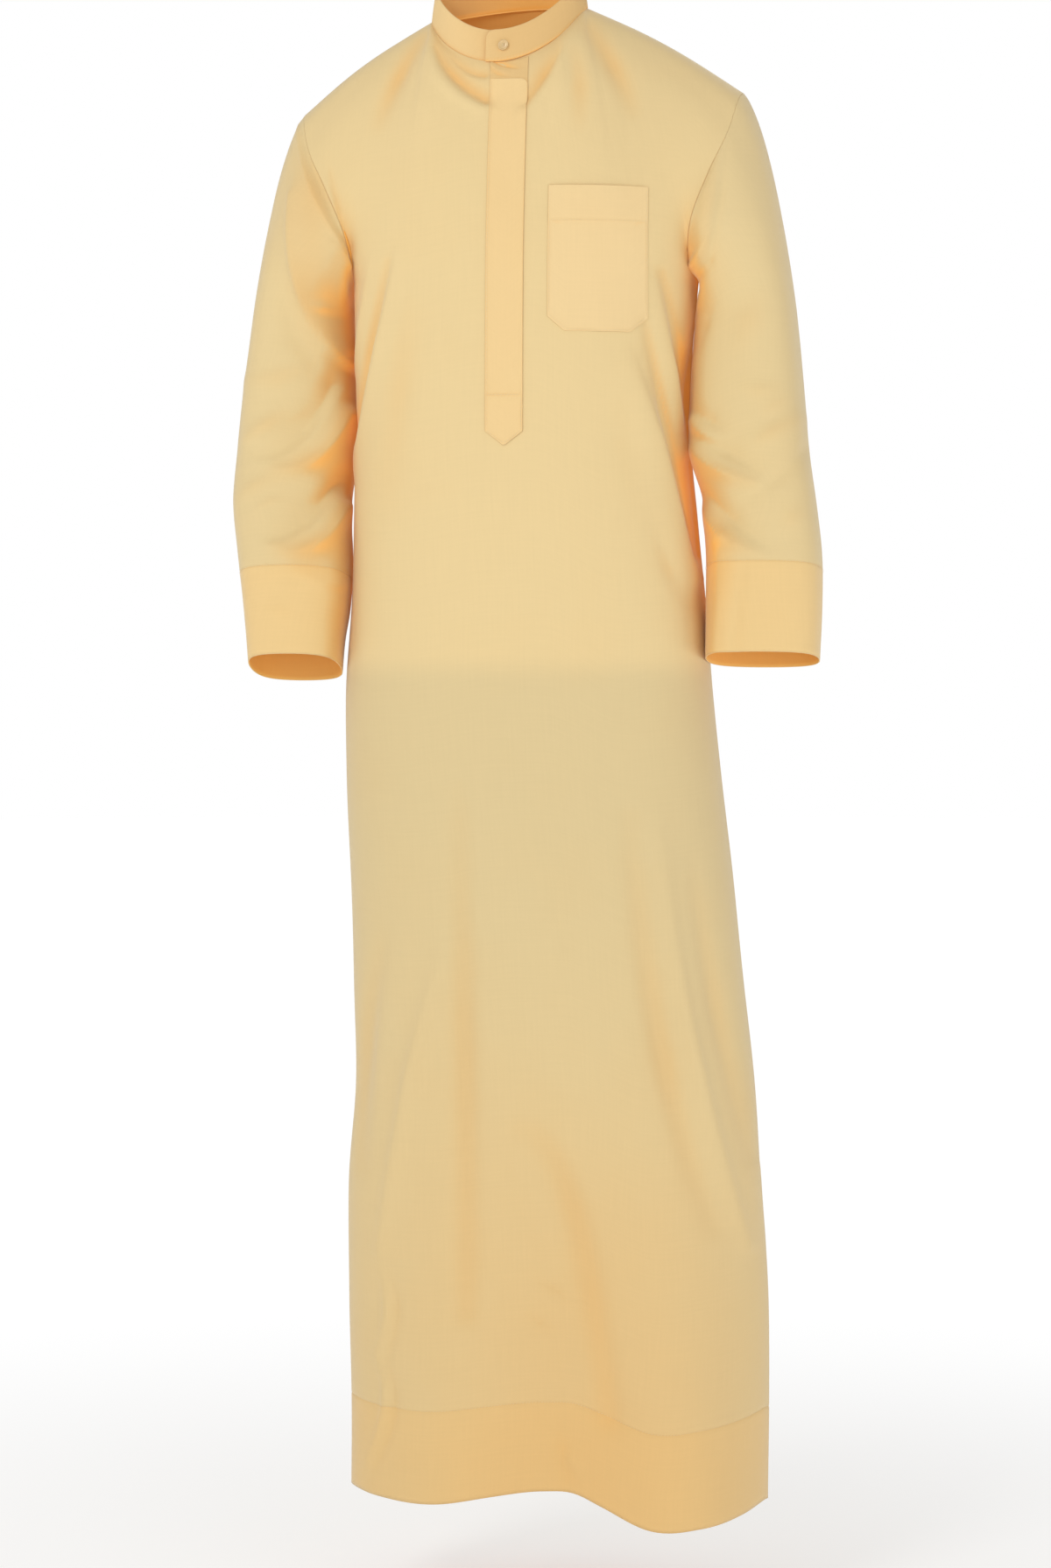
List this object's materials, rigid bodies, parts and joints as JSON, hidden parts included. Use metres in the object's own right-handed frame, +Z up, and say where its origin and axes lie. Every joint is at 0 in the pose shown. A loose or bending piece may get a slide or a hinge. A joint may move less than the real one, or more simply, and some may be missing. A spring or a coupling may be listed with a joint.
{
  "type": "thobe robe",
  "caption": "Ankle-length thobe robe in its worn, hollow form, with a stand collar, a pointed front placket, a chest pocket and long sleeves with deep cuffs.",
  "frame": {"origin": "midway between the shoulders, at the height where the collar meets the shoulder seams", "axes": "+Z up, +X towards the wearer's left, so the front faces -Y"},
  "size_m": [0.5882, 0.3204, 1.5016],
  "materials": {
    "cloth": "matt plain-weave cotton blend, pale yellow, one layer",
    "doubled_cloth": "the same cloth in two layers, warmer and smoother",
    "button": "satin"
  },
  "bodies": {
    "root": {"front": "cloth", "back": "cloth", "sleeve_right": "cloth", "sleeve_left": "cloth", "collar": "doubled_cloth", "placket": "doubled_cloth", "placket_top": "doubled_cloth", "pocket": "doubled_cloth", "collar_button": "button"}
  },
  "joints": []
}
